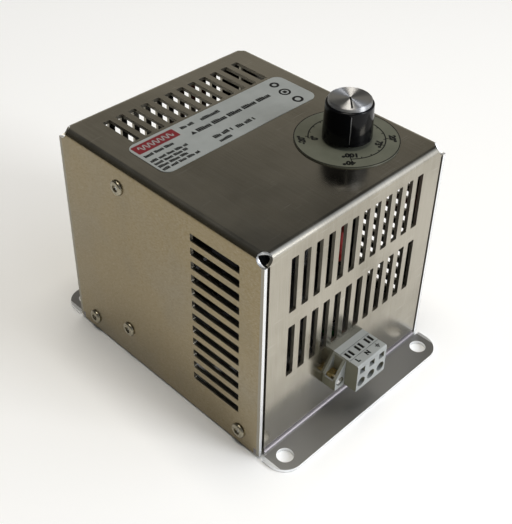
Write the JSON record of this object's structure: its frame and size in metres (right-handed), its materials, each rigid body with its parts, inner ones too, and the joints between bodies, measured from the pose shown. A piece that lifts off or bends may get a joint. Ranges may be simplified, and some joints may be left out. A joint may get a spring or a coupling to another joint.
{
  "type": "enclosure fan heater",
  "caption": "Small foot-mounted fan heater for electrical cabinets: a slotted sheet-metal box with a thermostat knob on top and a terminal block in front.",
  "frame": {"origin": "middle of the mounting face, on the plane of the feet's undersides", "axes": "+Z out of the mounting face through the top panel with the knob; -Y out of the front panel with the terminal block; +X to the right of the front panel"},
  "size_m": [0.1038, 0.1428, 0.1201],
  "materials": {
    "cover_aluminium": "brushed",
    "inner_sheet": "mill finish",
    "rivet_aluminium": "satin",
    "zinc_steel": "zinc plated",
    "label_film": "satin",
    "dial_film": "satin",
    "dark_phenolic": "matte",
    "brass_parts": "satin",
    "steatite": "matte",
    "knob_black": "gloss",
    "cap_aluminium": "turned",
    "pointer_black": "matte",
    "black_steel": "black oxide",
    "block_grey": "satin",
    "fan_black": "satin",
    "bronze": "sintered",
    "stator_iron": "laminated",
    "copper": "enamelled",
    "ferrite": "matte",
    "heater_aluminium": "mill finish",
    "connector_clear": "satin",
    "wire_red": "satin",
    "wire_white": "satin",
    "wire_black": "satin",
    "wire_green": "satin",
    "grommet_rubber": "matte"
  },
  "bodies": {
    "housing": {"housing_cover": "cover_aluminium", "base_plate": "inner_sheet", "fan_bulkhead": "inner_sheet", "rivet_bodies": "rivet_aluminium", "rivet_mandrels": "zinc_steel", "rating_label": "label_film", "dial_plate": "dial_film", "thermostat_bracket": "zinc_steel", "thermostat_housing": "dark_phenolic", "thermostat_base": "dark_phenolic", "thermostat_bushing": "brass_parts", "thermostat_nut": "zinc_steel", "thermostat_bimetal": "brass_parts", "thermostat_tabs": "brass_parts", "terminal_block_body": "block_grey", "terminal_clamps": "zinc_steel", "terminal_block_screws": "zinc_steel", "terminal_block_nuts": "brass_parts", "fan_frame": "fan_black", "fan_bearings": "bronze", "fan_stator": "stator_iron", "fan_windings": "copper", "fan_screws": "zinc_steel", "fan_nuts": "zinc_steel", "heater_tubes": "heater_aluminium", "heater_fins": "heater_aluminium", "heater_end_blocks": "steatite", "heater_brackets": "inner_sheet", "heater_screws": "zinc_steel", "heater_tabs": "brass_parts", "push_on_connectors": "connector_clear", "wire_red": "wire_red", "wire_white": "wire_white", "wire_black": "wire_black", "wire_green": "wire_green", "grommets": "grommet_rubber", "ground_lug": "zinc_steel", "ground_screw": "zinc_steel"},
    "knob": {"thermostat_spindle": "zinc_steel", "knob_body": "knob_black", "knob_cap": "cap_aluminium", "knob_pointer": "pointer_black", "knob_set_screw": "black_steel"},
    "plunger": {"thermostat_plunger": "steatite"},
    "fan_rotor": {"fan_impeller": "fan_black", "fan_magnet": "ferrite", "fan_shaft": "zinc_steel"}
  },
  "joints": [
    {"name": "thermostat_turn", "type": "hinge", "parent": "housing", "child": "knob", "pos_m": [0.0257, -0.02725, 0.11], "axis": [0, 0, 1], "range_deg": [-3, 273]},
    {"name": "plunger_slide", "type": "slide", "parent": "housing", "child": "plunger", "axis": [0, 0, 1], "range_m": [-0.0009, 0.0001]},
    {"name": "fan_spin", "type": "hinge", "parent": "housing", "child": "fan_rotor", "pos_m": [0, 0.0145, 0.05], "axis": [0, 1, 0], "continuous": true}
  ],
  "couplings": [
    {"joint": "plunger_slide", "follows": "thermostat_turn", "m_per_rad": -0.0001698}
  ]
}
